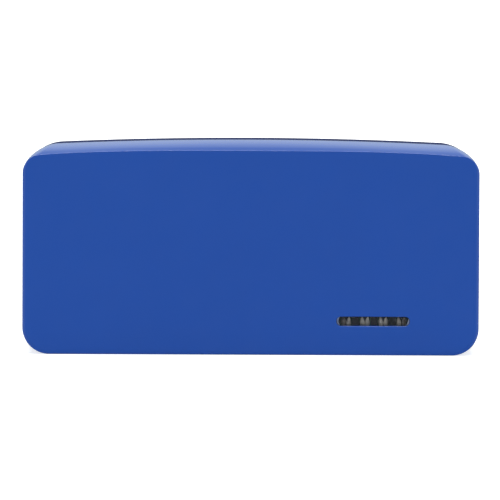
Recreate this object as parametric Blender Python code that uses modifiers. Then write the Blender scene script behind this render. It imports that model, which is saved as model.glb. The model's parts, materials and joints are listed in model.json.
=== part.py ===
"""Portable USB power bank with a four-lamp charge gauge, standing on its long edge.

Frame: origin at the bottom centre of the bounding box, X along the length, Y through the depth
(the plain gauge face looks along -Y), Z up. Dimensions below are in millimetres and are turned
into metres when a mesh is made.
"""

import math

import bmesh
import bpy
from mathutils import Matrix, Vector

MM = 0.001

# ---- case -------------------------------------------------------------------------------------
HALF_L = 48.95  # half of the length
FRONT_Y = -11.0
BACK_Y = 11.0
CREST_Y = -1.18  # depth at which the barrelled top is highest
PART_Y = -2.55  # the two shells meet here, a little in front of the crest
GAP = 0.05  # each shell stops this far from the meeting plane
LAP_Y = -3.50  # the inside half of the front shell's rim is cut back to here
LAP_IN = 0.78  # middle of the lap joint, measured in from the outside
WALL = 1.5
WALL_FRONT = 1.6
TOP_Z = 42.78  # height of the long top edge at its ends, on the front face
BARREL_R = 33.3  # the top is an arc of this radius from front to rear
BARREL_A = math.radians(17.15)  # slope of the top where it meets the front face
CROWN_FRONT = 1.38  # rise of the long top edge at its middle
CROWN_CREST = 1.36
BEND_FRONT, BEND_CREST = 3.3, 2.0  # power of the crown: flat in the middle in front, even behind
R_TOP_FRONT, R_TOP_CREST, R_TOP_REAR = 3.6, 8.2, 9.0
R_BOT_FRONT, R_BOT_REAR = 5.75, 7.2
ROUND_SIDE, ROUND_TOP = 0.95, 0.15  # round on the front face's edge: soft at sides, crisp on top
ROUND_BACK = 1.9
CORNER_STEPS = 8
CROWN_STEPS = 16

# ---- gauge window -----------------------------------------------------------------------------
SLOT_X, SLOT_Z = 26.27, 7.42
SLOT_L, SLOT_H = 15.75, 2.02
LAMP_X = (20.52, 24.54, 28.46, 32.37)
LAMP_Z = 7.07

# ---- cells ------------------------------------------------------------------------------------
CELL_R = 9.15
CELL_Y = 0.0
CELL_Z = (12.0, 30.4)
CELL_X0, CELL_X1 = -46.75, 17.60

# ---- boards and sockets -----------------------------------------------------------------------
PCB_Y0, PCB_Y1 = -3.0, -2.0
PCB_X0, PCB_X1, PCB_Z0, PCB_Z1 = 18.9, 46.9, 2.6, 40.0
BOSSES = ((23.0, 36.0), (41.5, 38.0), (40.0, 5.6))
USB_Y, USB_Z = 0.89, 28.95
USB_W, USB_T, USB_SHEET = 13.1, 5.7, 0.3
USB_X0, USB_X1 = 34.6, 48.6
MICRO_Y, MICRO_Z = -0.72, 17.0
MICRO_X0, MICRO_X1 = 43.4, 48.6
BUTTON_Y, BUTTON_Z = -0.40, 9.6
BUTTON_L, BUTTON_T = 4.6, 2.2

for old in list(bpy.data.objects):
    bpy.data.objects.remove(old, do_unlink=True)

scene = bpy.context.scene
parts = bpy.data.collections.new("power_bank")
tools = bpy.data.collections.new("cutters")
scene.collection.children.link(parts)
scene.collection.children.link(tools)


# ---- helpers ----------------------------------------------------------------------------------
def paint(obj, rgb, metallic=0.0, rough=0.4, alpha=1.0):
    mat = bpy.data.materials.new(obj.name + "_mat")
    mat.use_nodes = True
    shader = mat.node_tree.nodes["Principled BSDF"]
    shader.inputs["Base Color"].default_value = (rgb[0], rgb[1], rgb[2], 1.0)
    shader.inputs["Metallic"].default_value = metallic
    shader.inputs["Roughness"].default_value = rough
    shader.inputs["Alpha"].default_value = alpha
    obj.data.materials.append(mat)


def finish(name, bm, tool=False, smooth=False, origin=(0.0, 0.0, 0.0)):
    """Turn a bmesh in millimetres into an object in metres whose origin is at origin."""
    bmesh.ops.recalc_face_normals(bm, faces=bm.faces)
    shift = Matrix.Translation(Vector(origin) * -1.0)
    bm.transform(Matrix.Scale(MM, 4) @ shift)
    mesh = bpy.data.meshes.new(name)
    bm.to_mesh(mesh)
    bm.free()
    for face in mesh.polygons:
        face.use_smooth = smooth
    obj = bpy.data.objects.new(name, mesh)
    obj.location = Vector(origin) * MM
    if tool:
        tools.objects.link(obj)
        obj.hide_render = True
        obj.display_type = "WIRE"
    else:
        parts.objects.link(obj)
    return obj


def add_loft(bm, rings):
    """Skin rings of equal length, capping the first and the last."""
    rows = [[bm.verts.new(p) for p in ring] for ring in rings]
    n = len(rows[0])
    for a, b in zip(rows[:-1], rows[1:]):
        for i in range(n):
            j = (i + 1) % n
            bm.faces.new((a[i], a[j], b[j], b[i]))
    bm.faces.new(list(reversed(rows[0])))
    bm.faces.new(rows[-1])


def add_box(bm, x0, x1, y0, y1, z0, z1):
    add_loft(
        bm,
        [
            [(x0, y0, z0), (x1, y0, z0), (x1, y1, z0), (x0, y1, z0)],
            [(x0, y0, z1), (x1, y0, z1), (x1, y1, z1), (x0, y1, z1)],
        ],
    )


def loft(name, rings, **kw):
    bm = bmesh.new()
    add_loft(bm, rings)
    return finish(name, bm, **kw)


def box(name, x0, x1, y0, y1, z0, z1, **kw):
    bm = bmesh.new()
    add_box(bm, x0, x1, y0, y1, z0, z1)
    return finish(name, bm, **kw)


def boxes(name, rows, **kw):
    bm = bmesh.new()
    for row in rows:
        add_box(bm, *row)
    return finish(name, bm, **kw)


def round_rect(w, h, r, steps=4):
    """Points of a rounded rectangle centred on 0, 0, anticlockwise."""
    out = []
    for cx, cy, a0 in (
        (w / 2 - r, -h / 2 + r, -90),
        (w / 2 - r, h / 2 - r, 0),
        (-w / 2 + r, h / 2 - r, 90),
        (-w / 2 + r, -h / 2 + r, 180),
    ):
        for i in range(steps + 1):
            a = math.radians(a0 + 90 * i / steps)
            out.append((cx + r * math.cos(a), cy + r * math.sin(a)))
    return out


def circle(r, steps):
    return [
        (r * math.cos(2 * math.pi * i / steps), r * math.sin(2 * math.pi * i / steps))
        for i in range(steps)
    ]


def stadium(length, height, steps=8):
    """A slot with round ends, long in the first coordinate."""
    r = height / 2
    out = []
    for cx, a0 in ((length / 2 - r, -90), (-length / 2 + r, 90)):
        for i in range(steps + 1):
            a = math.radians(a0 + 180 * i / steps)
            out.append((cx + r * math.cos(a), r * math.sin(a)))
    return out


def along_y(pts, cx, cz, y):
    return [(cx + u, y, cz + v) for u, v in pts]


def along_x(pts, x, cy, cz):
    """First coordinate runs along Z, second along Y."""
    return [(x, cy + v, cz + u) for u, v in pts]


def bevel(obj, width, segments=2):
    mod = obj.modifiers.new("round", "BEVEL")
    mod.width = width * MM
    mod.segments = segments
    mod.limit_method = "ANGLE"
    mod.angle_limit = math.radians(40)
    return mod


def combine(obj, tool, how):
    mod = obj.modifiers.new(how.lower(), "BOOLEAN")
    mod.operation = how
    mod.solver = "EXACT"
    mod.object = tool
    return mod


def case_outline(half_l, z0, z1, r_top, r_bot, crown, bend_power):
    """The case seen from the front: round corners and a slightly crowned top edge."""
    pts = []

    def arc(cx, cz, r, a0, a1):
        for i in range(CORNER_STEPS + 1):
            a = math.radians(a0 + (a1 - a0) * i / CORNER_STEPS)
            pts.append((cx + r * math.cos(a), cz + r * math.sin(a)))

    arc(half_l - r_bot, z0 + r_bot, r_bot, -90, 0)
    arc(half_l - r_top, z1 - r_top, r_top, 0, 90)
    reach = half_l - r_top
    for i in range(1, CROWN_STEPS):
        pts.append((reach - 2 * reach * i / CROWN_STEPS, z1))
    arc(-half_l + r_top, z1 - r_top, r_top, 90, 180)
    arc(-half_l + r_bot, z0 + r_bot, r_bot, 180, 270)
    mid = (z0 + z1) / 2
    out = []
    for x, z in pts:
        lift = crown * max(0.0, (z - mid) / (z1 - mid)) * (1 - abs(x / half_l) ** bend_power)
        out.append((x, z + lift))
    return out


def shape_at(y):
    """Height of the top at its ends, the two outer corner radii and the crown, at depth y."""
    slope = math.asin(math.sin(BARREL_A) - (y - FRONT_Y) / BARREL_R)
    z1 = TOP_Z + BARREL_R * (math.cos(slope) - math.cos(BARREL_A))
    near = min(1.0, (y - FRONT_Y) / (CREST_Y - FRONT_Y))
    far = max(0.0, (y - CREST_Y) / (BACK_Y - CREST_Y))
    r_top = R_TOP_FRONT + (R_TOP_CREST - R_TOP_FRONT) * near + (R_TOP_REAR - R_TOP_CREST) * far
    r_bot = R_BOT_FRONT + (R_BOT_REAR - R_BOT_FRONT) * (y - FRONT_Y) / (BACK_Y - FRONT_Y)
    ease = math.sin(math.pi / 2 * near)
    crown = CROWN_FRONT + (CROWN_CREST - CROWN_FRONT) * ease
    power = BEND_FRONT + (BEND_CREST - BEND_FRONT) * ease
    return z1, r_top, r_bot, crown, power


def shell_ring(y, inset):
    """The outline of the case at depth y, drawn in by inset."""
    z1, r_top, r_bot, crown, power = shape_at(y)
    pts = case_outline(HALF_L - inset, inset, z1 - inset, r_top - inset, r_bot - inset, crown, power)
    return [(x, y, z) for x, z in pts]


def inner_ring(y, inset):
    """The inner wall. Its corners are tighter than a true offset, to leave room for the cells."""
    z1, r_top, r_bot, crown, power = shape_at(y)
    ra, rb = max(1.4, 0.73 * r_top - 0.2), max(1.4, 0.70 * r_bot - 0.6)
    pts = case_outline(HALF_L - inset, inset, z1 - inset, ra, rb, crown, power)
    return [(x, y, z) for x, z in pts]


def face_round(x, z):
    """Radius of the round on the front face's edge at a point of its outline."""
    t = min(1.0, max(0.0, (z - (TOP_Z - R_TOP_FRONT)) / (0.95 * R_TOP_FRONT)))
    return ROUND_SIDE + (ROUND_TOP - ROUND_SIDE) * t * t * (3 - 2 * t)


def face_rings(steps):
    """Rings that turn the side of the case into its front face through a round of varying radius."""
    out = []
    for k in range(steps + 1):
        a = math.pi / 2 * k / steps
        ring = []
        base = shell_ring(FRONT_Y, 0.0)
        n = len(base)
        for i, (x, _, z) in enumerate(base):
            r = face_round(x, z)
            y = FRONT_Y + r * (1 - math.cos(a))
            here = shell_ring(y, 0.0)
            px, _, pz = here[i]
            ax, _, az = here[i - 1]
            bx, _, bz = here[(i + 1) % n]
            tx, tz = bx - ax, bz - az
            size = math.hypot(tx, tz)
            d = r * (1 - math.sin(a))
            ring.append((px - tz / size * d, y, pz + tx / size * d))
        out.append(ring)
    return out


def tube(name, path, r, steps=8, **kw):
    """A round wire swept along a path of points."""
    pts = [Vector(p) for p in path]
    rings = []
    up = Vector((0, 0, 1))
    for i, p in enumerate(pts):
        a = pts[max(0, i - 1)]
        b = pts[min(len(pts) - 1, i + 1)]
        t = (b - a).normalized()
        side = t.cross(up)
        if side.length < 0.2:
            side = t.cross(Vector((0, 1, 0)))
        side.normalize()
        high = side.cross(t).normalized()
        rings.append(
            [
                tuple(p + side * (r * math.cos(2 * math.pi * k / steps)) + high * (r * math.sin(2 * math.pi * k / steps)))
                for k in range(steps)
            ]
        )
    return loft(name, rings, smooth=True, **kw)


def bend(p0, p1, p2, p3, steps):
    """Points of a cubic curve."""
    a, b, c, d = (Vector(p) for p in (p0, p1, p2, p3))
    out = []
    for i in range(steps + 1):
        t = i / steps
        out.append(tuple((1 - t) ** 3 * a + 3 * (1 - t) ** 2 * t * b + 3 * (1 - t) * t * t * c + t ** 3 * d))
    return out


# ---- front shell ------------------------------------------------------------------------------
rings = face_rings(4)
rings += [shell_ring(y, 0.0) for y in (-9.0, -7.4, -5.8, -4.2, PART_Y - GAP)]
rings += [
    shell_ring(PART_Y - GAP, LAP_IN - 0.06),
    shell_ring(LAP_Y, LAP_IN - 0.06),
    inner_ring(LAP_Y, WALL),
    inner_ring(-6.0, WALL),
    inner_ring(FRONT_Y + WALL_FRONT, WALL_FRONT),
]
front_shell = loft("front_shell", rings)
paint(front_shell, (0.021, 0.084, 0.371), rough=0.18)

boss_bm = bmesh.new()
for bx, bz in BOSSES:
    add_loft(
        boss_bm,
        [
            along_y(circle(2.4, 20), bx, bz, -9.95),
            along_y(circle(2.1, 20), bx, bz, PCB_Y0 - 0.04),
        ],
    )
bosses = finish("boss_tool", boss_bm, tool=True)
combine(front_shell, bosses, "UNION")

rib_bm = bmesh.new()
for rx in (-32.0, -14.0, 4.0):
    add_box(rib_bm, rx - 0.6, rx + 0.6, -9.95, -3.6, 14.2, 28.0)
ribs = finish("rib_tool", rib_bm, tool=True)
seat_bm = bmesh.new()
for cz in CELL_Z:
    add_loft(
        seat_bm,
        [
            [(x, CELL_Y + v, cz + u) for u, v in circle(CELL_R + 0.25, 40)]
            for x in (-50.0, 20.0)
        ],
    )
seats = finish("seat_tool", seat_bm, tool=True)
combine(ribs, seats, "DIFFERENCE")
combine(front_shell, ribs, "UNION")

cut_bm = bmesh.new()
add_loft(
    cut_bm,
    [along_y(stadium(SLOT_L, SLOT_H), SLOT_X, SLOT_Z, y) for y in (-12.0, -9.0)],
)
usb_hole = round_rect(USB_W + 0.4, USB_T + 0.4, 0.8)
add_loft(cut_bm, [along_x(usb_hole, x, USB_Y, USB_Z) for x in (46.5, 50.0)])
micro_hole = round_rect(8.1, 3.05, 1.1)
add_loft(cut_bm, [along_x(micro_hole, x, MICRO_Y, MICRO_Z) for x in (46.5, 50.0)])
button_hole = stadium(BUTTON_L + 0.3, BUTTON_T + 0.3)
add_loft(cut_bm, [along_x(button_hole, x, BUTTON_Y, BUTTON_Z) for x in (46.5, 50.0)])
for bx, bz in BOSSES:
    add_loft(cut_bm, [along_y(circle(0.78, 14), bx, bz, y) for y in (-8.2, -2.0)])
openings = finish("opening_tool", cut_bm, tool=True)
combine(front_shell, openings, "DIFFERENCE")

# ---- rear shell -------------------------------------------------------------------------------
rings = [
    inner_ring(BACK_Y - WALL, WALL),
    inner_ring(5.5, WALL),
    inner_ring(1.5, WALL),
    inner_ring(LAP_Y + 0.15, WALL),
    shell_ring(LAP_Y + 0.15, LAP_IN + 0.06),
    shell_ring(PART_Y + GAP, LAP_IN + 0.06),
]
rings += [shell_ring(y, 0.0) for y in (PART_Y + GAP, CREST_Y, 1.4, 4.0, 6.6)]
for k in range(5):
    a = math.radians(22.5 * k)
    rings.append(
        shell_ring(BACK_Y - ROUND_BACK * (1 - math.sin(a)), ROUND_BACK * (1 - math.cos(a)))
    )
rear_shell = loft("rear_shell", rings)
paint(rear_shell, (0.010, 0.020, 0.085), rough=0.5)
panel = round_rect(62.0, 24.0, 2.5, 5)
recess = loft("recess_tool", [along_y(panel, 0.0, 21.5, y) for y in (10.80, 12.0)], tool=True)
side_bm = bmesh.new()
for hole, hy, hz in (
    (usb_hole, USB_Y, USB_Z), (micro_hole, MICRO_Y, MICRO_Z), (button_hole, BUTTON_Y, BUTTON_Z)
):
    add_loft(side_bm, [along_x(hole, x, hy, hz) for x in (46.5, 50.0)])
sides = finish("side_tool", side_bm, tool=True)
combine(rear_shell, sides, "DIFFERENCE")
combine(rear_shell, recess, "DIFFERENCE")

# ---- gauge window, light divider, lamps and their board ----------------------------------------
inner = stadium(SLOT_L - 0.12, SLOT_H - 0.12)
edge = stadium(SLOT_L - 0.42, SLOT_H - 0.42)
flange = stadium(18.0, 3.6)
led_window = loft(
    "led_window",
    [
        along_y(edge, SLOT_X, SLOT_Z, -10.88),
        along_y(inner, SLOT_X, SLOT_Z, -10.73),
        along_y(inner, SLOT_X, SLOT_Z, -9.36),
        along_y(flange, SLOT_X, SLOT_Z, -9.36),
        along_y(flange, SLOT_X, SLOT_Z, -8.84),
    ],
)
paint(led_window, (0.9, 0.92, 0.95), rough=0.05, alpha=0.3)

led_baffle = box("led_baffle", 18.62, 34.90, -8.80, -7.24, 5.55, 8.75)
paint(led_baffle, (0.015, 0.015, 0.015), rough=0.7)
pocket_bm = bmesh.new()
for lx in LAMP_X:
    add_box(pocket_bm, lx - 1.25, lx + 1.25, -9.2, -6.9, LAMP_Z - 1.02, LAMP_Z + 1.02)
pockets = finish("pocket_tool", pocket_bm, tool=True)
combine(led_baffle, pockets, "DIFFERENCE")

for i, lx in enumerate(LAMP_X, 1):
    lamp = box(
        f"led_{i}", lx - 1.0, lx + 1.0, -7.62, -7.23, LAMP_Z - 0.82, LAMP_Z + 0.82
    )
    lobe_bm = bmesh.new()
    for side in (-0.52, 0.52):
        dome = []
        for k in range(4):
            a = math.radians(26 * k)
            dome.append(
                [
                    (lx + side + u * math.cos(a), -7.45 - 0.62 * math.sin(a), LAMP_Z + v * math.cos(a))
                    for u, v in [(0.44 * p, 0.80 * q) for p, q in circle(1.0, 14)]
                ]
            )
        add_loft(lobe_bm, dome)
    lobes = finish(f"lobe_tool_{i}", lobe_bm, tool=True)
    combine(lamp, lobes, "UNION")
    paint(lamp, (0.45, 0.42, 0.38), rough=0.3)

led_board = box("led_board", 18.62, 36.0, -7.20, -6.40, 4.3, 10.4)
paint(led_board, (0.03, 0.16, 0.06), rough=0.4)

board_link = box("board_link", 23.4, 33.4, -6.00, -3.40, 8.0, 10.0)
pin_bm = bmesh.new()
for k in range(4):
    px = 24.6 + 2.54 * k
    add_box(pin_bm, px - 0.3, px + 0.3, -6.37, -3.03, 8.7, 9.3)
pins = finish("pin_tool", pin_bm, tool=True)
combine(board_link, pins, "UNION")
paint(board_link, (0.02, 0.02, 0.02), rough=0.5)

# ---- main board -------------------------------------------------------------------------------
w, h = PCB_X1 - PCB_X0, PCB_Z1 - PCB_Z0
cx, cz = (PCB_X0 + PCB_X1) / 2, (PCB_Z0 + PCB_Z1) / 2
board = []
for bx0, bz0, r, a0 in (
    (PCB_X1 - 5.0, PCB_Z0 + 5.0, 5.0, -90),
    (PCB_X1 - 5.0, PCB_Z1 - 5.0, 5.0, 0),
    (PCB_X0 + 1.0, PCB_Z1 - 1.0, 1.0, 90),
    (PCB_X0 + 1.0, PCB_Z0 + 1.0, 1.0, 180),
):
    for k in range(5):
        a = math.radians(a0 + 22.5 * k)
        board.append((bx0 + r * math.cos(a), bz0 + r * math.sin(a)))
main_pcb = loft("main_pcb", [[(x, y, z) for x, z in board] for y in (PCB_Y0, PCB_Y1)])
paint(main_pcb, (0.03, 0.16, 0.06), rough=0.4)
hole_bm = bmesh.new()
for bx, bz in BOSSES:
    add_loft(hole_bm, [along_y(circle(1.05, 16), bx, bz, y) for y in (-3.6, -1.4)])
holes = finish("hole_tool", hole_bm, tool=True)
combine(main_pcb, holes, "DIFFERENCE")

# ---- large socket: sheet shell, insulator and four contacts -----------------------------------
outer = round_rect(USB_W, USB_T, 0.6)
inside = round_rect(USB_W - 2 * USB_SHEET, USB_T - 2 * USB_SHEET, 0.35)
lead_in = round_rect(USB_W - 0.24, USB_T - 0.24, 0.5)
usb_a_shell = loft(
    "usb_a_shell",
    [
        along_x(outer, USB_X0, USB_Y, USB_Z),
        along_x(outer, USB_X1, USB_Y, USB_Z),
        along_x(lead_in, USB_X1, USB_Y, USB_Z),
        along_x(inside, USB_X1 - 0.35, USB_Y, USB_Z),
        along_x(inside, USB_X0 + USB_SHEET, USB_Y, USB_Z),
    ],
)
paint(usb_a_shell, (0.62, 0.62, 0.64), metallic=1.0, rough=0.25)

usb_a_tongue = box(
    "usb_a_tongue", USB_X0 + 0.35, 39.2, USB_Y - 2.45, USB_Y + 2.45, USB_Z - 6.1, USB_Z + 6.1
)
blade = box(
    "blade_tool", 38.6, 47.4, USB_Y + 0.10, USB_Y + 1.94, USB_Z - 5.55, USB_Z + 5.55, tool=True
)
bevel(blade, 0.22, 2)
combine(usb_a_tongue, blade, "UNION")
paint(usb_a_tongue, (0.78, 0.78, 0.76), rough=0.45)

for i, dz in enumerate((-3.5, -1.0, 1.0, 3.5), 1):
    z = USB_Z + dz
    y_low = USB_Y + 0.07
    profile = [
        (39.35, y_low), (39.35, y_low - 0.22), (41.6, y_low - 0.22), (43.2, y_low - 0.62),
        (44.6, y_low - 0.62), (46.2, y_low - 0.24), (46.9, y_low - 0.20), (46.9, y_low),
        (46.2, y_low), (44.6, y_low - 0.36), (43.2, y_low - 0.36), (41.6, y_low),
    ]
    contact = loft(
        f"usb_a_contact_{i}",
        [[(x, y, zz) for x, y in profile] for zz in (z - 0.5, z + 0.5)],
    )
    paint(contact, (0.86, 0.62, 0.26), metallic=1.0, rough=0.25)

# ---- small socket -----------------------------------------------------------------------------
def micro_outline(w, t, cut):
    """A flat D: square on the board side, with the two far corners cut at a slant."""
    return [
        (-w / 2, -t / 2), (w / 2, -t / 2), (w / 2, t / 2 - cut), (w / 2 - cut, t / 2),
        (-w / 2 + cut, t / 2), (-w / 2, t / 2 - cut),
    ]


big, small = micro_outline(7.5, 2.46, 0.75), micro_outline(7.0, 1.96, 0.62)
lip = micro_outline(7.3, 2.26, 0.70)
micro_usb_shell = loft(
    "micro_usb_shell",
    [
        along_x(big, MICRO_X0, MICRO_Y, MICRO_Z),
        along_x(big, MICRO_X1, MICRO_Y, MICRO_Z),
        along_x(lip, MICRO_X1, MICRO_Y, MICRO_Z),
        along_x(small, MICRO_X1 - 0.25, MICRO_Y, MICRO_Z),
        along_x(small, MICRO_X0 + 0.25, MICRO_Y, MICRO_Z),
    ],
)
paint(micro_usb_shell, (0.62, 0.62, 0.64), metallic=1.0, rough=0.25)
base = micro_outline(6.86, 1.82, 0.60)
micro_usb_tongue = loft(
    "micro_usb_tongue", [along_x(base, x, MICRO_Y, MICRO_Z) for x in (MICRO_X0 + 0.3, 45.2)]
)
reed = box(
    "reed_tool", 44.8, 48.1, MICRO_Y + 0.02, MICRO_Y + 0.64, MICRO_Z - 1.95, MICRO_Z + 1.95, tool=True
)
combine(micro_usb_tongue, reed, "UNION")
paint(micro_usb_tongue, (0.02, 0.02, 0.02), rough=0.5)

# ---- push button on its side-push switch --------------------------------------------------------
switch_base = box(
    "switch_base", 42.6, 45.6, PCB_Y1 + 0.03, 1.2, BUTTON_Z - 2.35, BUTTON_Z + 2.35
)
bevel(switch_base, 0.15, 1)
well = box(
    "well_tool", 44.98, 46.4, BUTTON_Y - 0.62, BUTTON_Y + 0.62, BUTTON_Z - 1.32, BUTTON_Z + 1.32, tool=True
)
combine(switch_base, well, "DIFFERENCE")
paint(switch_base, (0.6, 0.6, 0.62), metallic=0.8, rough=0.35)

stem = round_rect(2.4, 1.0, 0.3, 3)
stem_tip = round_rect(2.1, 0.7, 0.2, 3)
switch_plunger = loft(
    "switch_plunger",
    [
        along_x(stem, 45.34, BUTTON_Y, BUTTON_Z),
        along_x(stem, 46.38, BUTTON_Y, BUTTON_Z),
        along_x(stem_tip, 46.50, BUTTON_Y, BUTTON_Z),
    ],
    origin=(45.9, BUTTON_Y, BUTTON_Z),
)
paint(switch_plunger, (0.03, 0.03, 0.03), rough=0.5)

skirt = stadium(6.0, 3.0)
pill = stadium(BUTTON_L, BUTTON_T)
power_button = loft(
    "power_button",
    [
        along_x(skirt, 46.60, BUTTON_Y, BUTTON_Z),
        along_x(skirt, 47.26, BUTTON_Y, BUTTON_Z),
        along_x(pill, 47.26, BUTTON_Y, BUTTON_Z),
        along_x(pill, 48.58, BUTTON_Y, BUTTON_Z),
        along_x(stadium(BUTTON_L - 0.2, BUTTON_T - 0.2), 48.74, BUTTON_Y, BUTTON_Z),
        along_x(stadium(BUTTON_L - 0.7, BUTTON_T - 0.7), 48.85, BUTTON_Y, BUTTON_Z),
    ],
    origin=(47.8, BUTTON_Y, BUTTON_Z),
)
paint(power_button, (0.010, 0.020, 0.085), rough=0.35)

# ---- two cylindrical cells with caps, insulating rings, tabs and leads --------------------------
def turned(name, profile, cy, cz, steps=36, **kw):
    """A solid of revolution about an axis along X. The profile is radius against X."""
    return loft(
        name,
        [[(x, cy + v, cz + u) for u, v in circle(r, steps)] for x, r in profile],
        smooth=True,
        **kw,
    )


def washer(name, x0, x1, r_in, r_out, cy, cz, steps=32):
    bm = bmesh.new()
    loops = []
    for x, r in ((x0, r_in), (x0, r_out), (x1, r_out), (x1, r_in)):
        loops.append([bm.verts.new((x, cy + v, cz + u)) for u, v in circle(r, steps)])
    for a, b in zip(loops, loops[1:] + loops[:1]):
        for i in range(steps):
            j = (i + 1) % steps
            bm.faces.new((a[i], a[j], b[j], b[i]))
    return finish(name, bm)


for i, cz in enumerate(CELL_Z, 1):
    cell = turned(
        f"cell_{i}",
        [
            (CELL_X0, CELL_R - 0.7), (CELL_X0 + 0.25, CELL_R - 0.2), (CELL_X0 + 0.8, CELL_R),
            (13.4, CELL_R), (13.9, CELL_R - 0.45), (14.5, CELL_R - 0.45), (15.0, CELL_R),
            (17.0, CELL_R), (17.4, CELL_R - 0.25), (CELL_X1, CELL_R - 0.8),
        ],
        CELL_Y,
        cz,
    )
    paint(cell, (0.02, 0.22, 0.34), rough=0.35)
    ring = washer(f"cell_ring_{i}", CELL_X1 + 0.05, CELL_X1 + 0.22, 4.0, 7.9, CELL_Y, cz)
    paint(ring, (0.85, 0.85, 0.83), rough=0.7)
    cap = turned(
        f"cell_cap_{i}",
        [(CELL_X1 + 0.05, 3.6), (CELL_X1 + 0.32, 3.6), (CELL_X1 + 0.44, 3.35)],
        CELL_Y,
        cz,
        steps=24,
    )
    paint(cap, (0.7, 0.7, 0.68), metallic=1.0, rough=0.3)


def tab_strip(name, x0, x1, reach):
    """A flat tab across both cells, with an ear towards the back for the lead."""
    z0, z1, zm = CELL_Z[0] - 3.0, CELL_Z[1] + 3.0, sum(CELL_Z) / 2
    pts = [
        (-2.9, z0), (3.1, z0), (3.1, zm - 2.2), (reach, zm - 1.6), (reach, zm + 1.6),
        (3.1, zm + 2.2), (3.1, z1), (-2.9, z1),
    ]
    strip = loft(name, [[(x, y, z) for y, z in pts] for x in (x0, x1)])
    paint(strip, (0.66, 0.65, 0.60), metallic=1.0, rough=0.35)
    return strip


tab_strip("tab_positive", 18.10, 18.25, 3.4)
tab_strip("tab_negative", -46.97, -46.82, 7.2)

ZM = sum(CELL_Z) / 2
wire_positive = tube(
    "wire_positive",
    bend((18.36, 2.0, ZM + 0.6), (21.5, 2.2, ZM + 0.6), (23.4, 1.4, ZM + 1.2), (23.4, -1.90, ZM + 1.2), 8),
    0.6,
)
paint(wire_positive, (0.55, 0.02, 0.02), rough=0.4)
wire_negative = tube(
    "wire_negative",
    [(-46.65, 6.5, ZM), (-20.0, 6.5, ZM)]
    + bend((15.5, 6.5, ZM), (20.5, 6.5, ZM), (23.4, 3.4, ZM - 3.4), (23.4, -1.90, ZM - 3.4), 9),
    0.6,
)
paint(wire_negative, (0.015, 0.015, 0.015), rough=0.4)

for name, z0, z1 in (("foam_strip_top", 39.65, 42.10), ("foam_strip_bottom", 1.62, 2.70)):
    pad = box(name, -40.0, 10.0, -2.6, 2.8, z0, z1)
    paint(pad, (0.05, 0.05, 0.05), rough=0.95)

# ---- parts soldered on the front of the main board -----------------------------------------------
FACE = PCB_Y0 - 0.03


def drum(name, x, z):
    """A shielded coil: square base and a round core."""
    base = round_rect(7.2, 7.2, 1.4, 3)
    core = box(name, x - 3.6, x + 3.6, FACE - 0.9, FACE, z - 3.6, z + 3.6)
    bevel(core, 0.3, 1)
    top = loft(
        name + "_tool",
        [
            along_y(circle(2.2, 28), x, z, FACE - 0.4),
            along_y(circle(2.2, 28), x, z, FACE - 1.4),
            along_y(circle(3.1, 28), x, z, FACE - 1.5),
            along_y(circle(3.1, 28), x, z, FACE - 3.5),
            along_y(circle(3.4, 28), x, z, FACE - 3.6),
            along_y(circle(3.4, 28), x, z, FACE - 4.1),
            along_y(circle(3.1, 28), x, z, FACE - 4.25),
        ],
        tool=True,
    )
    combine(core, top, "UNION")
    paint(core, (0.09, 0.09, 0.09), rough=0.55)
    return core


def chip(name, x, z):
    """An eight-leg chip."""
    body = box(name, x - 2.45, x + 2.45, FACE - 1.60, FACE - 0.12, z - 1.95, z + 1.95)
    bevel(body, 0.18, 1)
    legs = []
    for k in range(4):
        lx = x - 1.905 + 1.27 * k
        for s in (-1, 1):
            a, b = sorted((z + s * 1.5, z + s * 2.62))
            legs.append((lx - 0.21, lx + 0.21, FACE - 0.95, FACE - 0.70, a, b))
    rows = legs
    arms = boxes(name + "_arms", rows, tool=True)
    feet = []
    for k in range(4):
        lx = x - 1.905 + 1.27 * k
        for s in (-1, 1):
            a, b = sorted((z + s * 2.38, z + s * 2.60))
            feet.append((lx - 0.20, lx + 0.20, FACE - 0.93, FACE, a, b))
    toes = boxes(name + "_toes", feet, tool=True)
    combine(body, arms, "UNION")
    combine(body, toes, "UNION")
    paint(body, (0.03, 0.03, 0.03), rough=0.45)
    return body


def chip_cap(name, x, z, lx=3.2, lz=1.6, t=1.5, rgb=(0.42, 0.30, 0.18)):
    """A ceramic block with slightly larger end terminations."""
    mid = box(name, x - lx / 2 + 0.3, x + lx / 2 - 0.3, FACE - t + 0.06, FACE - 0.06, z - lz / 2 + 0.06, z + lz / 2 - 0.06)
    ends = boxes(
        name + "_ends",
        [
            (x - lx / 2, x - lx / 2 + 0.55, FACE - t, FACE, z - lz / 2, z + lz / 2),
            (x + lx / 2 - 0.55, x + lx / 2, FACE - t, FACE, z - lz / 2, z + lz / 2),
        ],
        tool=True,
    )
    combine(mid, ends, "UNION")
    paint(mid, rgb, rough=0.4)
    return mid


drum("inductor", 27.0, 29.0)
chip("chip_boost", 36.5, 30.0)
chip("chip_charge", 27.5, 18.5)
chip_cap("capacitor_1", 36.5, 24.0)
chip_cap("capacitor_2", 42.6, 27.0)
chip_cap("capacitor_3", 42.6, 21.5)
chip_cap("diode", 36.0, 17.5, lx=4.6, lz=2.6, t=2.1, rgb=(0.03, 0.03, 0.03))

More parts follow.
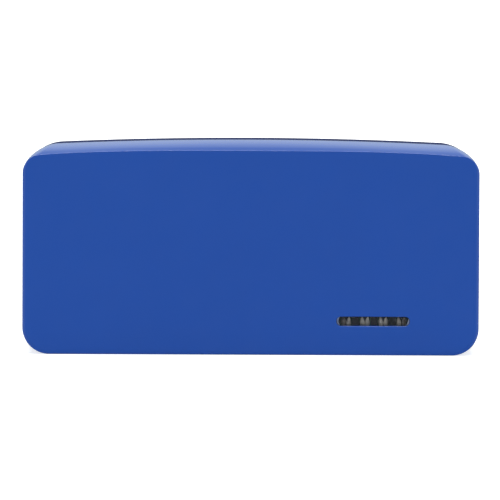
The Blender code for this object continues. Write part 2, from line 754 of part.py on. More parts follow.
# ---- self-tapping screws that hold the main board --------------------------------------------------
for i, (bx, bz) in enumerate(BOSSES, 1):
    screw = loft(
        f"board_screw_{i}",
        [
            along_y(circle(0.40, 20), bx, bz, -7.6),
            along_y(circle(0.70, 20), bx, bz, -7.1),
            along_y(circle(0.70, 20), bx, bz, PCB_Y1 + 0.04),
            along_y(circle(1.55, 20), bx, bz, PCB_Y1 + 0.04),
            along_y(circle(1.50, 20), bx, bz, PCB_Y1 + 0.55),
            along_y(circle(1.05, 20), bx, bz, PCB_Y1 + 0.95),
        ],
    )
    cross = boxes(
        f"cross_tool_{i}",
        [
            (bx - 0.75, bx + 0.75, PCB_Y1 + 0.50, PCB_Y1 + 1.3, bz - 0.14, bz + 0.14),
        ],
        tool=True,
    )
    cross_b = boxes(
        f"cross_tool_b_{i}",
        [
            (bx - 0.14, bx + 0.14, PCB_Y1 + 0.52, PCB_Y1 + 1.3, bz - 0.75, bz + 0.75),
        ],
        tool=True,
    )
    combine(screw, cross, "DIFFERENCE")
    combine(screw, cross_b, "DIFFERENCE")
    paint(screw, (0.55, 0.55, 0.55), metallic=1.0, rough=0.3)
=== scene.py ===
import json
import math

import bmesh
import bpy
from mathutils import Matrix, Vector


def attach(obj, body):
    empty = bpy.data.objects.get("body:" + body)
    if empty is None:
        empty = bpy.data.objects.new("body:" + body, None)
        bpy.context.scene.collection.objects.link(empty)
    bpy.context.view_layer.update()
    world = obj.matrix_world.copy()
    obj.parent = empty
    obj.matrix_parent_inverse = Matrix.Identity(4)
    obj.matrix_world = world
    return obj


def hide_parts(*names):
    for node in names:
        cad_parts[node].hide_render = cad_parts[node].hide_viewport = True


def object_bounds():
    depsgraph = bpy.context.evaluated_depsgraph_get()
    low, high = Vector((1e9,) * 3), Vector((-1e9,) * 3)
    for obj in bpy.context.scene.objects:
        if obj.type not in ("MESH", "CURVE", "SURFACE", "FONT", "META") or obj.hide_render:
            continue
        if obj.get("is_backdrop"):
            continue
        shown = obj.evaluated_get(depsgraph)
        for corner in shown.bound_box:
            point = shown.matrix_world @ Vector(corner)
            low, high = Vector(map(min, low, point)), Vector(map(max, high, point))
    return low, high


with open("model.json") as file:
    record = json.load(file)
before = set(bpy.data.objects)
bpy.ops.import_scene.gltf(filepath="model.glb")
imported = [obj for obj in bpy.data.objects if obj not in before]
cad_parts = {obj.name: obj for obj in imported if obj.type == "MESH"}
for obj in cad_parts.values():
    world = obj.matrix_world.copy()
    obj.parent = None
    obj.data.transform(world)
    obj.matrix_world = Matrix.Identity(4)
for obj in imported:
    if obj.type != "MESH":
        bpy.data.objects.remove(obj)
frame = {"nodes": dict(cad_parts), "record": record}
cad_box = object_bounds()

MM = 0.001

# ---- case, as in the CAD part ---------------------------------------------------------------
HALF_L = 48.95
FRONT_Y, BACK_Y = -11.0, 11.0
CREST_Y, PART_Y, GAP, LAP_Y, LAP_IN = -1.18, -2.55, 0.05, -3.50, 0.78
WALL, WALL_FRONT = 1.5, 1.6
TOP_Z = 42.78
BARREL_R = 33.3
BARREL_A = math.radians(17.15)
CROWN_FRONT, CROWN_CREST = 1.38, 1.36
BEND_FRONT, BEND_CREST = 3.3, 2.0
R_TOP_FRONT, R_TOP_CREST, R_TOP_REAR = 3.6, 8.2, 9.0
R_BOT_FRONT, R_BOT_REAR = 5.75, 7.2
ROUND_SIDE, ROUND_TOP, ROUND_BACK = 0.95, 0.07, 1.9
SLOT_X, SLOT_Z, SLOT_L, SLOT_H = 26.27, 7.42, 15.75, 2.02
LAMPS = ((19.98, 21.06), (24.02, 25.06), (27.92, 29.00), (31.82, 32.92))
LAMP_Z = 7.05
USB_Y, USB_Z, USB_W, USB_T = 0.89, 28.95, 13.1, 5.7
USB_X0, USB_X1 = 34.6, 48.6
MICRO_Y, MICRO_Z, MICRO_X0, MICRO_X1 = -0.72, 17.0, 43.4, 48.6
BUTTON_Y, BUTTON_Z, BUTTON_L, BUTTON_T = -0.40, 9.6, 4.6, 2.2
BOSSES = ((23.0, 36.0), (41.5, 38.0), (40.0, 5.6))
CORNER, CROWN = 26, 72  # steps round a corner and along the crown


# ---- mesh helpers ---------------------------------------------------------------------------
def add_loft(bm, rings, cap=True):
    rows = [[bm.verts.new(p) for p in ring] for ring in rings]
    n = len(rows[0])
    for a, b in zip(rows[:-1], rows[1:]):
        for i in range(n):
            j = (i + 1) % n
            bm.faces.new((a[i], a[j], b[j], b[i]))
    if cap:
        bm.faces.new(list(reversed(rows[0])))
        bm.faces.new(rows[-1])


def made(name, bm, sharp=30.0, weighted=True, shown=True):
    bmesh.ops.recalc_face_normals(bm, faces=bm.faces)
    bm.transform(Matrix.Scale(MM, 4))
    mesh = bpy.data.meshes.new(name)
    bm.to_mesh(mesh)
    bm.free()
    for face in mesh.polygons:
        face.use_smooth = True
    obj = bpy.data.objects.new(name, mesh)
    bpy.context.scene.collection.objects.link(obj)
    obj["sharp"] = sharp
    obj["weighted"] = weighted
    return obj


def apply_all(obj):
    bpy.context.view_layer.update()
    graph = bpy.context.evaluated_depsgraph_get()
    mesh = bpy.data.meshes.new_from_object(obj.evaluated_get(graph))
    obj.modifiers.clear()
    obj.data = mesh
    return obj


def cut(obj, tools, how="DIFFERENCE"):
    for tool in tools:
        mod = obj.modifiers.new(tool.name, "BOOLEAN")
        mod.operation = how
        mod.solver = "EXACT"
        mod.object = tool
    apply_all(obj)
    for tool in tools:
        bpy.data.objects.remove(tool, do_unlink=True)
    return obj


def shade(obj):
    mesh = obj.data
    for face in mesh.polygons:
        face.use_smooth = True
    mesh.set_sharp_from_angle(angle=math.radians(obj.get("sharp", 30.0)))
    if obj.get("weighted", True):
        mod = obj.modifiers.new("weighted", "WEIGHTED_NORMAL")
        mod.keep_sharp = True
        mod.weight = 60
        apply_all(obj)
    return obj


def soften(obj, width, segments=3, angle=40):
    mod = obj.modifiers.new("round", "BEVEL")
    mod.width = width * MM
    mod.segments = segments
    mod.limit_method = "ANGLE"
    mod.angle_limit = math.radians(angle)
    mod.harden_normals = False
    return apply_all(obj)


def box(name, x0, x1, y0, y1, z0, z1, **kw):
    bm = bmesh.new()
    add_loft(bm, [
        [(x0, y0, z0), (x1, y0, z0), (x1, y1, z0), (x0, y1, z0)],
        [(x0, y0, z1), (x1, y0, z1), (x1, y1, z1), (x0, y1, z1)],
    ])
    return made(name, bm, **kw)


def loft(name, rings, **kw):
    bm = bmesh.new()
    add_loft(bm, rings)
    return made(name, bm, **kw)


def round_rect(w, h, r, steps=10):
    out = []
    for cx, cy, a0 in ((w / 2 - r, -h / 2 + r, -90), (w / 2 - r, h / 2 - r, 0),
                       (-w / 2 + r, h / 2 - r, 90), (-w / 2 + r, -h / 2 + r, 180)):
        for i in range(steps + 1):
            a = math.radians(a0 + 90 * i / steps)
            out.append((cx + r * math.cos(a), cy + r * math.sin(a)))
    return out


def circle(r, steps=40):
    return [(r * math.cos(2 * math.pi * i / steps), r * math.sin(2 * math.pi * i / steps)) for i in range(steps)]


def stadium(length, height, steps=28):
    r = height / 2
    out = []
    for cx, a0 in ((length / 2 - r, -90), (-length / 2 + r, 90)):
        for i in range(steps + 1):
            a = math.radians(a0 + 180 * i / steps)
            out.append((cx + r * math.cos(a), r * math.sin(a)))
    return out


def along_y(pts, cx, cz, y):
    return [(cx + u, y, cz + v) for u, v in pts]


def along_x(pts, x, cy, cz):
    return [(x, cy + v, cz + u) for u, v in pts]


# ---- case outline ---------------------------------------------------------------------------
def case_outline(half_l, z0, z1, r_top, r_bot, crown, bend_power):
    pts = []

    def arc(cx, cz, r, a0, a1):
        for i in range(CORNER + 1):
            a = math.radians(a0 + (a1 - a0) * i / CORNER)
            pts.append((cx + r * math.cos(a), cz + r * math.sin(a)))

    arc(half_l - r_bot, z0 + r_bot, r_bot, -90, 0)
    arc(half_l - r_top, z1 - r_top, r_top, 0, 90)
    reach = half_l - r_top
    for i in range(1, CROWN):
        pts.append((reach - 2 * reach * i / CROWN, z1))
    arc(-half_l + r_top, z1 - r_top, r_top, 90, 180)
    arc(-half_l + r_bot, z0 + r_bot, r_bot, 180, 270)
    mid = (z0 + z1) / 2
    return [(x, z + crown * max(0.0, (z - mid) / (z1 - mid)) * (1 - abs(x / half_l) ** bend_power)) for x, z in pts]


def shape_at(y):
    slope = math.asin(math.sin(BARREL_A) - (y - FRONT_Y) / BARREL_R)
    z1 = TOP_Z + BARREL_R * (math.cos(slope) - math.cos(BARREL_A))
    near = min(1.0, (y - FRONT_Y) / (CREST_Y - FRONT_Y))
    far = max(0.0, (y - CREST_Y) / (BACK_Y - CREST_Y))
    r_top = R_TOP_FRONT + (R_TOP_CREST - R_TOP_FRONT) * near + (R_TOP_REAR - R_TOP_CREST) * far
    r_bot = R_BOT_FRONT + (R_BOT_REAR - R_BOT_FRONT) * (y - FRONT_Y) / (BACK_Y - FRONT_Y)
    ease = math.sin(math.pi / 2 * near)
    crown = CROWN_FRONT + (CROWN_CREST - CROWN_FRONT) * ease
    power = BEND_FRONT + (BEND_CREST - BEND_FRONT) * ease
    return z1, r_top, r_bot, crown, power


def shell_ring(y, inset):
    z1, r_top, r_bot, crown, power = shape_at(y)
    pts = case_outline(HALF_L - inset, inset, z1 - inset, r_top - inset, r_bot - inset, crown, power)
    return [(x, y, z) for x, z in pts]


def inner_ring(y, inset):
    z1, r_top, r_bot, crown, power = shape_at(y)
    ra, rb = max(1.4, 0.73 * r_top - 0.2), max(1.4, 0.70 * r_bot - 0.6)
    pts = case_outline(HALF_L - inset, inset, z1 - inset, ra, rb, crown, power)
    return [(x, y, z) for x, z in pts]


def face_round(x, z):
    t = min(1.0, max(0.0, (z - (TOP_Z - R_TOP_FRONT)) / (0.95 * R_TOP_FRONT)))
    return ROUND_SIDE + (ROUND_TOP - ROUND_SIDE) * t * t * (3 - 2 * t)


def face_rings(steps):
    out = []
    base = shell_ring(FRONT_Y, 0.0)
    n = len(base)
    for k in range(steps + 1):
        a = math.pi / 2 * k / steps
        ring = []
        for i, (x, _, z) in enumerate(base):
            r = face_round(x, z)
            y = FRONT_Y + r * (1 - math.cos(a))
            here = shell_ring(y, 0.0)
            px, _, pz = here[i]
            ax, _, az = here[i - 1]
            bx, _, bz = here[(i + 1) % n]
            tx, tz = bx - ax, bz - az
            size = math.hypot(tx, tz)
            d = r * (1 - math.sin(a))
            ring.append((px - tz / size * d, y, pz + tx / size * d))
        out.append(ring)
    return out


# ---- materials ------------------------------------------------------------------------------
def material(name, rgb, rough, metallic=0.0, tone=0.04, tone_scale=900.0, rough_span=0.05,
             rough_scale=1400.0, bump=0.0, bump_scale=6000.0, stretch=(1, 1, 1), **sockets):
    """A Principled material whose colour, roughness and fine relief vary through noise in object space."""
    mat = bpy.data.materials.new(name)
    mat.use_nodes = True
    tree = mat.node_tree
    shader = tree.nodes["Principled BSDF"]
    shader.inputs["Metallic"].default_value = metallic
    for key, value in sockets.items():
        shader.inputs[key.replace("_", " ")].default_value = value
    where = tree.nodes.new("ShaderNodeTexCoord")
    warp = tree.nodes.new("ShaderNodeMapping")
    warp.inputs["Scale"].default_value = stretch
    tree.links.new(where.outputs["Object"], warp.inputs["Vector"])

    def noise(scale, detail):
        node = tree.nodes.new("ShaderNodeTexNoise")
        node.inputs["Scale"].default_value = scale
        node.inputs["Detail"].default_value = detail
        tree.links.new(warp.outputs["Vector"], node.inputs["Vector"])
        return node.outputs["Fac"]

    ramp = tree.nodes.new("ShaderNodeValToRGB")
    for element, gain in zip(ramp.color_ramp.elements, (1 - tone, 1 + tone)):
        element.color = (rgb[0] * gain, rgb[1] * gain, rgb[2] * gain, 1.0)
    ramp.color_ramp.elements[0].position = 0.3
    ramp.color_ramp.elements[1].position = 0.7
    tree.links.new(noise(tone_scale, 3.0), ramp.inputs["Fac"])
    tree.links.new(ramp.outputs["Color"], shader.inputs["Base Color"])
    span = tree.nodes.new("ShaderNodeMapRange")
    span.inputs["From Min"].default_value = 0.3
    span.inputs["From Max"].default_value = 0.7
    span.inputs["To Min"].default_value = max(0.0, rough - rough_span)
    span.inputs["To Max"].default_value = min(1.0, rough + rough_span)
    tree.links.new(noise(rough_scale, 2.0), span.inputs["Value"])
    tree.links.new(span.outputs["Result"], shader.inputs["Roughness"])
    if bump:
        relief = tree.nodes.new("ShaderNodeBump")
        relief.inputs["Strength"].default_value = 1.0
        relief.inputs["Distance"].default_value = bump * MM
        tree.links.new(noise(bump_scale, 4.0), relief.inputs["Height"])
        tree.links.new(relief.outputs["Normal"], shader.inputs["Normal"])
    mat.diffuse_color = (rgb[0], rgb[1], rgb[2], 1.0)
    return mat


LOOK = {
    "case_blue": material("case_blue", (0.0134, 0.0535, 0.2560), 0.10, tone=0.012, tone_scale=60,
                          rough_span=0.02, rough_scale=300, bump=0.0002, bump_scale=400),
    # rear shell: base colour far darker than the front blue, with little specular; its thin edge makes the dark line
    # along the top of the case
    "shell_navy": material("shell_navy", (0.0066, 0.0118, 0.056), 0.62, tone=0.10, tone_scale=2200, rough_span=0.08,
                           bump=0.03, bump_scale=1900, Specular_IOR_Level=0.05),
    "black_plastic": material("black_plastic", (0.010, 0.0095, 0.010), 0.62, tone=0.15, bump=0.01, bump_scale=3000,
                              Specular_IOR_Level=0.25),
    "white_plastic": material("white_plastic", (0.72, 0.72, 0.69), 0.38, tone=0.03, bump=0.004, bump_scale=2500),
    "circuit_board": material("circuit_board", (0.010, 0.075, 0.025), 0.34, tone=0.35, tone_scale=500, bump=0.01, bump_scale=1500),
    "socket_steel": material("socket_steel", (0.60, 0.60, 0.61), 0.24, metallic=1.0, tone=0.05, rough_span=0.07,
                             stretch=(1, 1, 12), bump=0.002, bump_scale=1200),
    "contact_gold": material("contact_gold", (0.83, 0.58, 0.22), 0.2, metallic=1.0, tone=0.05, bump=0.001),
    "lamp_body": material("lamp_body", (0.66, 0.60, 0.54), 0.28, tone=0.25, tone_scale=1500, bump=0.01, bump_scale=2500),
    "cell_wrap": material("cell_wrap", (0.012, 0.21, 0.32), 0.28, tone=0.05, bump=0.006, bump_scale=900),
    "cap_nickel": material("cap_nickel", (0.62, 0.61, 0.57), 0.28, metallic=1.0, tone=0.06, bump=0.003),
    "insulating_ring": material("insulating_ring", (0.78, 0.77, 0.72), 0.85, tone=0.06, bump=0.02, bump_scale=4000),
    "wire_red": material("wire_red", (0.45, 0.012, 0.010), 0.42, tone=0.05, bump=0.004),
    "wire_black": material("wire_black", (0.012, 0.012, 0.012), 0.42, tone=0.1, bump=0.004),
    "foam": material("foam", (0.022, 0.022, 0.022), 0.95, tone=0.4, tone_scale=2500, bump=0.08, bump_scale=2500),
    "chip_epoxy": material("chip_epoxy", (0.014, 0.014, 0.015), 0.55, tone=0.15, bump=0.01),
    "ferrite": material("ferrite", (0.035, 0.034, 0.034), 0.6, tone=0.25, bump=0.02, bump_scale=2500),
    "ceramic": material("ceramic", (0.30, 0.18, 0.095), 0.35, tone=0.08, bump=0.004),
    "screw_steel": material("screw_steel", (0.52, 0.52, 0.52), 0.3, metallic=1.0, tone=0.06, bump=0.004),
    "clear_acrylic": material("clear_acrylic", (0.16, 0.17, 0.19), 0.06, tone=0.02, rough_span=0.02, bump=0.0005,
                              bump_scale=700, Alpha=0.06),
}
# pale colour for the slivers in the guide's round ends: a painted highlight standing in for light caught by the
# acrylic's rounded ends
END_GLINT_PAINT = material("guide_end_painted_highlight", (0.15, 0.19, 0.31), 0.35, tone=0.25, tone_scale=1300, bump=0.01, bump_scale=3000)
# darker copy of the bead colour for the two outermost beads: painted shade beside the slot's round ends
BEAD_PAINTED_SHADE = material("lamp_bead_painted_shade", (0.24, 0.20, 0.165), 0.3, tone=0.35, tone_scale=1300, bump=0.01, bump_scale=2500)
LAMP_BASE = material("lamp_base", (0.030, 0.026, 0.024), 0.45, tone=0.3, bump=0.008, bump_scale=2500)
NAVY_GLOSS = material("button_navy", (0.0085, 0.016, 0.075), 0.42, tone=0.05, bump=0.006, bump_scale=3200)
STEEL_DARK = material("steel_inside", (0.42, 0.42, 0.43), 0.3, metallic=1.0, tone=0.06, bump=0.003)


def wear(obj, slot_name, body="case", nodes=(), mat=None):
    obj.data.materials.clear()
    obj.data.materials.append(mat or LOOK[slot_name])
    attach(obj, body)
    if nodes:
        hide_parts(*nodes)
    return obj


# ---- openings shared by the two shells --------------------------------------------------------
def lipped(pts_of, place, depth_from, inward, lip, reach, steps=8):
    """Rings of a cutter that leaves a rounded lip: wide on the surface, true size at lip depth."""
    rings = [place(pts_of(lip), depth_from - inward * 1.0)]
    for k in range(steps + 1):
        a = math.pi / 2 * k / steps
        rings.append(place(pts_of(lip * (1 - math.sin(a))), depth_from + inward * lip * (1 - math.cos(a))))
    rings.append(place(pts_of(0.0), depth_from + inward * reach))
    return rings


def side_tools(tag):
    out = []
    for name, make, cy, cz in (
        ("usb", lambda d: round_rect(USB_W + 0.4 + 2 * d, USB_T + 0.4 + 2 * d, 0.8 + d), USB_Y, USB_Z),
        ("micro", lambda d: round_rect(8.1 + 2 * d, 3.05 + 2 * d, 1.1 + d), MICRO_Y, MICRO_Z),
        ("button", lambda d: stadium(BUTTON_L + 0.3 + 2 * d, BUTTON_T + 0.3 + 2 * d), BUTTON_Y, BUTTON_Z),
    ):
        place = lambda pts, x, cy=cy, cz=cz: along_x(pts, x, cy, cz)
        out.append(loft(f"cut_{name}_{tag}", lipped(make, place, HALF_L, -1, 0.22, 2.6)))
    return out


# ---- front shell ----------------------------------------------------------------------------
rings = face_rings(9)
span = PART_Y - GAP - (FRONT_Y + ROUND_SIDE)
rings += [shell_ring(FRONT_Y + ROUND_SIDE + span * k / 16, 0.0) for k in range(1, 16)]
for k in range(4):
    a = math.radians(30 * k)
    rings.append(shell_ring(PART_Y - GAP - 0.10 * (1 - math.sin(a)), 0.10 * (1 - math.cos(a))))
rings += [
    shell_ring(PART_Y - GAP, LAP_IN - 0.06),
    shell_ring(LAP_Y, LAP_IN - 0.06),
    inner_ring(LAP_Y, WALL),
    inner_ring(-6.0, WALL),
    inner_ring(FRONT_Y + WALL_FRONT, WALL_FRONT),
]
front = loft("shell_front_gloss", rings, sharp=32)
bosses = []
for i, (bx, bz) in enumerate(BOSSES):
    bosses.append(loft(f"boss_{i}", [along_y(circle(2.4), bx, bz, -9.95), along_y(circle(2.1), bx, bz, -3.04)]))
cut(front, bosses, "UNION")
slot_make = lambda d: stadium(SLOT_L + 2 * d, SLOT_H + 2 * d)
slot_place = lambda pts, y: along_y(pts, SLOT_X, SLOT_Z, y)
tools = [loft("cut_slot", lipped(slot_make, slot_place, FRONT_Y, 1, 0.12, 2.2, 6))]
for i, (bx, bz) in enumerate(BOSSES):
    tools.append(loft(f"pilot_{i}", [along_y(circle(0.78, 24), bx, bz, y) for y in (-8.2, -2.0)]))
cut(front, tools + side_tools("front"))
shade(front)
wear(front, "case_blue", nodes=["front_shell"])

# ---- rear shell -----------------------------------------------------------------------------
rings = [
    inner_ring(BACK_Y - WALL, WALL),
    inner_ring(5.5, WALL),
    inner_ring(1.5, WALL),
    inner_ring(LAP_Y + 0.15, WALL),
    shell_ring(LAP_Y + 0.15, LAP_IN + 0.06),
    shell_ring(PART_Y + GAP, LAP_IN + 0.06),
]
for k in range(4):
    a = math.radians(30 * k)
    rings.append(shell_ring(PART_Y + GAP + 0.10 * (1 - math.cos(a)), 0.10 * (1 - math.sin(a))))
span = BACK_Y - ROUND_BACK - (PART_Y + GAP + 0.10)
rings += [shell_ring(PART_Y + GAP + 0.10 + span * k / 12, 0.0) for k in range(1, 12)]
for k in range(11):
    a = math.radians(9 * k)
    rings.append(shell_ring(BACK_Y - ROUND_BACK * (1 - math.sin(a)), ROUND_BACK * (1 - math.cos(a))))
rear = loft("shell_rear_matte", rings, sharp=32)
panel = lambda d: round_rect(62.0 + 2 * d, 24.0 + 2 * d, 2.5 + d, 14)
panel_place = lambda pts, y: along_y(pts, 0.0, 21.5, y)
recess = loft("cut_panel", lipped(panel, panel_place, BACK_Y, -1, 0.12, 0.20, 5))
cut(rear, side_tools("rear") + [recess])
shade(rear)
wear(rear, "shell_navy", nodes=["rear_shell"])

# ---- gauge window: clear light guide, pale ends with painted highlight, lamps -------------------
guide = []
for k in range(7):
    a = math.radians(15 * k)
    d = 0.22 * (1 - math.sin(a))
    guide.append(slot_place(stadium(SLOT_L - 0.10 - 2 * d, SLOT_H - 0.10 - 2 * d), -10.88 + 0.22 * (1 - math.cos(a))))
guide += [
    slot_place(stadium(SLOT_L - 0.10, SLOT_H - 0.10), -9.36),
    slot_place(stadium(18.0, 3.6), -9.36),
    slot_place(stadium(18.0, 3.6), -8.84),
]
window = shade(loft("gauge_window", guide, sharp=35))
wear(window, "clear_acrylic", nodes=["led_window"])


def crescent(name, side, width, a0, a1, y0, y1):
    """A thin curved sliver inside one round end of the light guide."""
    r = SLOT_H / 2 - 0.09
    cx = SLOT_X + side * (SLOT_L / 2 - SLOT_H / 2)
    steps = 28
    outer, inner = [], []
    for i in range(steps + 1):
        t = i / steps
        a = math.radians(a0 + (a1 - a0) * t)
        w = width * math.sin(math.pi * min(0.98, max(0.02, t))) ** 0.7
        outer.append((cx + side * r * math.cos(a), SLOT_Z + r * math.sin(a)))
        inner.append((cx + side * (r - w) * math.cos(a), SLOT_Z + (r - w * 0.5) * math.sin(a)))
    pts = outer + inner[::-1]
    return loft(name, [[(x, y, z) for x, z in pts] for y in (y0, y1)], sharp=40, weighted=False)


# pale slivers inside the guide's round ends: painted highlight
for name, side, width, a0, a1 in (("guide_end_glint_left", -1, 0.36, -70, 75), ("guide_end_glint_right", 1, 0.30, -75, 30)):
    wear(shade(crescent(name, side, width, a0, a1, -10.62, -9.5)), "clear_acrylic", mat=END_GLINT_PAINT)


def lobe(bm, cx, lean):
    """One half of a lamp: a pear-shaped bead, narrow and leaning outwards at its top."""
    z0, z1, steps, rows = 6.10, 7.98, 22, 8
    side = []
    for i in range(steps + 1):
        t = i / steps
        u = min(1.0, max(0.0, (t - 0.36) / 0.64))
        half = 0.53 * (1 - 0.52 * u * u * (3 - 2 * u)) * max(0.0, 1 - abs(2 * t - 1) ** 7) ** 0.5
        side.append((half, lean * 0.10 * u, z0 + (z1 - z0) * t))
    outline = [(d + shift, z) for d, shift, z in side[1:-1]] + [(side[-1][1], z1)]
    outline += [(shift - d, z) for d, shift, z in side[-2:0:-1]] + [(0.0, z0)]
    mid = (z0 + z1) / 2 - 0.15
    rings = []
    for k in range(rows):
        a = math.radians(86) * k / (rows - 1)
        rings.append([(cx + u * math.cos(a), -7.50 - 0.50 * math.sin(a), mid + (z - mid) * math.cos(a))
                      for u, z in outline])
    add_loft(bm, rings)


for i, pair in enumerate(LAMPS, 1):
    mid = sum(pair) / 2
    base = box(f"lamp_{i}", mid - 0.98, mid + 0.98, -7.62, -7.24, 6.25, 7.89, sharp=40)
    soften(base, 0.06, 2)
    wear(shade(base), "lamp_body", nodes=[f"led_{i}"], mat=LAMP_BASE)
    for j, cx in enumerate(pair, 1):
        bm = bmesh.new()
        lobe(bm, cx, 1 if j == 2 else -1)
        # the beads next to the slot's round ends take the darker copy: painted shade
        end_shade = (i, j) in ((1, 1), (4, 2))
        wear(shade(made(f"lamp_{i}_bead_{j}", bm, sharp=50)), "lamp_body", mat=BEAD_PAINTED_SHADE if end_shade else None)

# ---- large socket -----------------------------------------------------------------------------
outer = round_rect(USB_W, USB_T, 0.6)
inside = round_rect(USB_W - 0.6, USB_T - 0.6, 0.35)
flare = round_rect(USB_W - 0.10, USB_T - 0.10, 0.56)
lead = round_rect(USB_W - 0.34, USB_T - 0.34, 0.46)
socket = loft("usb_a_can", [
    along_x(outer, USB_X0, USB_Y, USB_Z),
    along_x(outer, USB_X1 - 0.08, USB_Y, USB_Z),
    along_x(flare, USB_X1, USB_Y, USB_Z),
    along_x(lead, USB_X1 - 0.02, USB_Y, USB_Z),
    along_x(inside, USB_X1 - 0.40, USB_Y, USB_Z),
    along_x(inside, USB_X0 + 0.3, USB_Y, USB_Z),
], sharp=35)
cut(socket, [
    box(f"spring_{i}", 41.0, 45.5, USB_Y + s * (USB_T / 2 - 0.15) - 0.5, USB_Y + s * (USB_T / 2 - 0.15) + 0.5,
        USB_Z + dz - 0.95, USB_Z + dz + 0.95)
    for i, (s, dz) in enumerate(((-1, -3.2), (-1, 3.2), (1, -3.2), (1, 3.2)))
])
wear(shade(socket), "socket_steel", nodes=["usb_a_shell"])

tongue = box("usb_a_block", USB_X0 + 0.35, 39.2, USB_Y - 2.45, USB_Y + 2.45, USB_Z - 6.1, USB_Z + 6.1, sharp=40)
blade = box("blade", 38.6, 47.4, USB_Y + 0.10, USB_Y + 1.94, USB_Z - 5.55, USB_Z + 5.55)
soften(blade, 0.24, 4)
cut(tongue, [blade], "UNION")
wear(shade(tongue), "white_plastic", nodes=["usb_a_tongue"])

for i, dz in enumerate((-3.5, -1.0, 1.0, 3.5), 1):
    z, y_low = USB_Z + dz, USB_Y + 0.07
    top = [(39.35, -0.22), (41.4, -0.22), (42.2, -0.32), (43.0, -0.54), (43.9, -0.63), (44.8, -0.54),
           (45.6, -0.34), (46.3, -0.23), (46.9, -0.18)]
    under = [(46.9, 0.0), (46.3, 0.0), (45.6, -0.10), (44.8, -0.28), (43.9, -0.37), (43.0, -0.28),
             (42.2, -0.08), (41.4, 0.0), (39.35, 0.0)]
    profile = [(x, y_low + d) for x, d in top + under]
    leaf = loft(f"usb_a_leaf_{i}", [[(x, y, zz) for x, y in profile] for zz in (z - 0.5, z + 0.5)], sharp=45)
    wear(shade(leaf), "contact_gold", nodes=[f"usb_a_contact_{i}"])


# ---- small socket -----------------------------------------------------------------------------
def micro_outline(w, t, cut_by, r=0.28, steps=5):
    corners = [(-w / 2, -t / 2), (w / 2, -t / 2), (w / 2, t / 2 - cut_by), (w / 2 - cut_by, t / 2),
               (-w / 2 + cut_by, t / 2), (-w / 2, t / 2 - cut_by)]
    out = []
    n = len(corners)
    for i, p in enumerate(corners):
        p, a, b = Vector(p), Vector(corners[i - 1]), Vector(corners[(i + 1) % n])
        u, v = (a - p).normalized(), (b - p).normalized()
        reach = min(r, (a - p).length * 0.45, (b - p).length * 0.45)
        for k in range(steps + 1):
            t_ = k / steps
            q = (p + u * reach) * (1 - t_) ** 2 + p * 2 * t_ * (1 - t_) + (p + v * reach) * t_ ** 2
            out.append((q.x, q.y))
    return out


micro = loft("micro_usb_can", [
    along_x(micro_outline(7.5, 2.46, 0.75), MICRO_X0, MICRO_Y, MICRO_Z),
    along_x(micro_outline(7.5, 2.46, 0.75), MICRO_X1 - 0.07, MICRO_Y, MICRO_Z),
    along_x(micro_outline(7.38, 2.34, 0.72), MICRO_X1, MICRO_Y, MICRO_Z),
    along_x(micro_outline(7.2, 2.16, 0.68), MICRO_X1 - 0.03, MICRO_Y, MICRO_Z),
    along_x(micro_outline(7.0, 1.96, 0.62), MICRO_X1 - 0.28, MICRO_Y, MICRO_Z),
    along_x(micro_outline(7.0, 1.96, 0.62), MICRO_X0 + 0.25, MICRO_Y, MICRO_Z),
], sharp=35)
wear(shade(micro), "socket_steel", nodes=["micro_usb_shell"])
seat = loft("micro_usb_block", [along_x(micro_outline(6.86, 1.82, 0.60), x, MICRO_Y, MICRO_Z) for x in (MICRO_X0 + 0.3, 45.2)], sharp=40)
reed = box("reed", 44.8, 48.1, MICRO_Y + 0.02, MICRO_Y + 0.64, MICRO_Z - 1.95, MICRO_Z + 1.95)
soften(reed, 0.12, 3)
cut(seat, [reed], "UNION")
wear(shade(seat), "black_plastic", nodes=["micro_usb_tongue"])
for i in range(5):
    z = MICRO_Z - 1.3 + 0.65 * i
    strip = box(f"micro_usb_strip_{i + 1}", 45.3, 47.9, MICRO_Y - 0.08, MICRO_Y + 0.06, z - 0.19, z + 0.19, sharp=40)
    soften(strip, 0.03, 2)
    wear(shade(strip), "contact_gold")

# ---- push button --------------------------------------------------------------------------------
pill = lambda d: stadium(BUTTON_L - 2 * d, BUTTON_T - 2 * d)
rings = [
    along_x(stadium(6.0, 3.0), 46.60, BUTTON_Y, BUTTON_Z),
    along_x(stadium(6.0, 3.0), 47.26, BUTTON_Y, BUTTON_Z),
    along_x(pill(0.0), 47.26, BUTTON_Y, BUTTON_Z),
    along_x(pill(0.0), 48.50, BUTTON_Y, BUTTON_Z),
]
for k in range(1, 8):
    a = math.radians(90 * k / 7)
    rings.append(along_x(pill(0.34 * (1 - math.cos(a))), 48.50 + 0.26 * math.sin(a), BUTTON_Y, BUTTON_Z))
rings.append(along_x(pill(0.62), 48.82, BUTTON_Y, BUTTON_Z))
rings.append(along_x(pill(0.95), 48.85, BUTTON_Y, BUTTON_Z))
button = shade(loft("button_cap", rings, sharp=35))
wear(button, "shell_navy", body="button", nodes=["power_button"], mat=NAVY_GLOSS)

# ---- every CAD node that still shows keeps its mesh and takes its slot's material -----------------
by_slot = {part["node"]: part["material_slot"] for part in frame["record"]["subparts"]}
for node, obj in frame["nodes"].items():
    obj.data.materials.clear()
    obj.data.materials.append(LOOK[by_slot[node]])

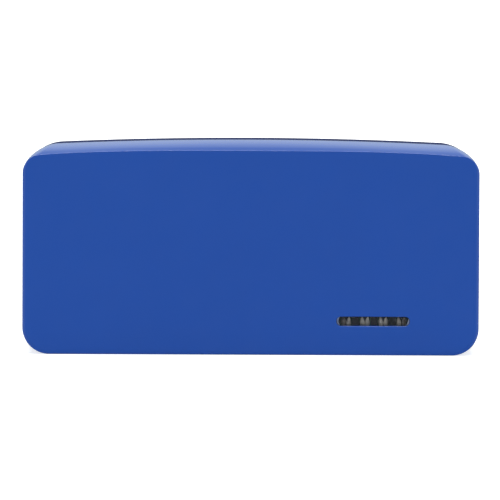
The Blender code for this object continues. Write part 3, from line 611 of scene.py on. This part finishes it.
# ---- floor, light, world ------------------------------------------------------------------------
bm = bmesh.new()
steps = 96
centre = bm.verts.new((0, 0, 0))
ring = [bm.verts.new((14000 * math.cos(2 * math.pi * i / steps), 14000 * math.sin(2 * math.pi * i / steps), 0)) for i in range(steps)]
for i in range(steps):
    bm.faces.new((centre, ring[i], ring[(i + 1) % steps]))
floor = made("floor", bm, weighted=False)
floor.location.z = -0.00002
paper = material("floor_paper", (0.52, 0.52, 0.52), 0.9, tone=0.004, tone_scale=3.0, rough_span=0.02)
paper.node_tree.nodes["Principled BSDF"].inputs["Emission Color"].default_value = (1.0, 1.0, 1.0, 1.0)
paper.node_tree.nodes["Principled BSDF"].inputs["Emission Strength"].default_value = 0.70
floor.data.materials.append(paper)
floor.visible_glossy = False
floor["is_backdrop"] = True


key = bpy.data.lights.new("overhead", "SUN")
key.energy = 4.6
key.angle = math.radians(52)
lamp = bpy.data.objects.new("overhead", key)
lamp.location = (0.0, -0.14, 1.2)
lamp.rotation_euler = (Vector((0.0, 0.0, 0.02)) - lamp.location).to_track_quat("-Z", "Y").to_euler()
bpy.context.scene.collection.objects.link(lamp)

world = bpy.data.worlds.new("studio")
bpy.context.scene.world = world
world.use_nodes = True
tree = world.node_tree
back = tree.nodes["Background"]
back.inputs["Strength"].default_value = 1.0
where = tree.nodes.new("ShaderNodeTexCoord")
split = tree.nodes.new("ShaderNodeSeparateXYZ")
tree.links.new(where.outputs["Generated"], split.inputs["Vector"])
ramp = tree.nodes.new("ShaderNodeValToRGB")
height = tree.nodes.new("ShaderNodeMapRange")
height.inputs["From Min"].default_value = -1.0
height.inputs["From Max"].default_value = 1.0
tree.links.new(split.outputs["Z"], height.inputs["Value"])
tree.links.new(height.outputs["Result"], ramp.inputs["Fac"])
LEVELS = ((-0.05, 0.06), (0.0, 0.60), (0.20, 0.80), (0.33, 0.98), (0.43, 0.96), (0.53, 0.80), (0.60, 0.50), (0.70, 0.34))
stops = ramp.color_ramp.elements
for i, (z, level) in enumerate(LEVELS):
    stop = stops[i] if i < 2 else stops.new((z + 1) / 2)
    stop.position, stop.color = (z + 1) / 2, (level * 0.92, level * 1.03, level * 1.04, 1)
size = tree.nodes.new("ShaderNodeMath")
size.operation = "ABSOLUTE"
tree.links.new(split.outputs["X"], size.inputs[0])
sides = tree.nodes.new("ShaderNodeMapRange")  # pale panels to the left and right
for socket, value in (("From Min", 0.55), ("From Max", 0.95), ("To Min", 0.0), ("To Max", 0.55)):
    sides.inputs[socket].default_value = value
tree.links.new(size.outputs["Value"], sides.inputs["Value"])
blend = tree.nodes.new("ShaderNodeMix")
blend.data_type = "RGBA"
for socket in blend.inputs:
    if socket.type == "RGBA" and socket.name == "B":
        socket.default_value = (0.92, 0.98, 1.0, 1.0)
    if socket.type == "RGBA" and socket.name == "A":
        tree.links.new(ramp.outputs["Color"], socket)
tree.links.new(sides.outputs["Result"], blend.inputs[0])
tinted = [socket for socket in blend.outputs if socket.type == "RGBA"][0]
tree.links.new(tinted, back.inputs["Color"])

scene = bpy.context.scene
scene.view_settings.view_transform = "Standard"
scene.view_settings.look = "None"
scene.view_settings.exposure = 0.0
scene.view_settings.gamma = 1.0

# ---- camera: far away, 7 degrees above level, looking straight at the gauge face -------------------
AIM = Vector((-0.170, -11.0, 22.74)) * MM
ELEVATION, ROLL, AWAY = math.radians(7.0), math.radians(0.247), 3.0
camera = bpy.data.cameras.new("camera")
camera.sensor_width = 36.0
camera.lens = 36.0 * AWAY / (500 / 4.669 * MM)
camera.clip_start, camera.clip_end = 0.1, 60.0
eye = bpy.data.objects.new("camera", camera)
scene.collection.objects.link(eye)
eye.location = AIM + Vector((0, -math.cos(ELEVATION), math.sin(ELEVATION))) * AWAY
turn = (AIM - eye.location).to_track_quat("-Z", "Y").to_matrix().to_4x4()
eye.rotation_euler = (turn @ Matrix.Rotation(ROLL, 4, "Z")).to_euler()
scene.camera = eye

# ---- sizes ------------------------------------------------------------------------------------------
def plain(value):
    try:
        return [plain(v) for v in value]
    except TypeError:
        return float(value)


{"cad": plain(cad_box), "visual": plain(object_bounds())}
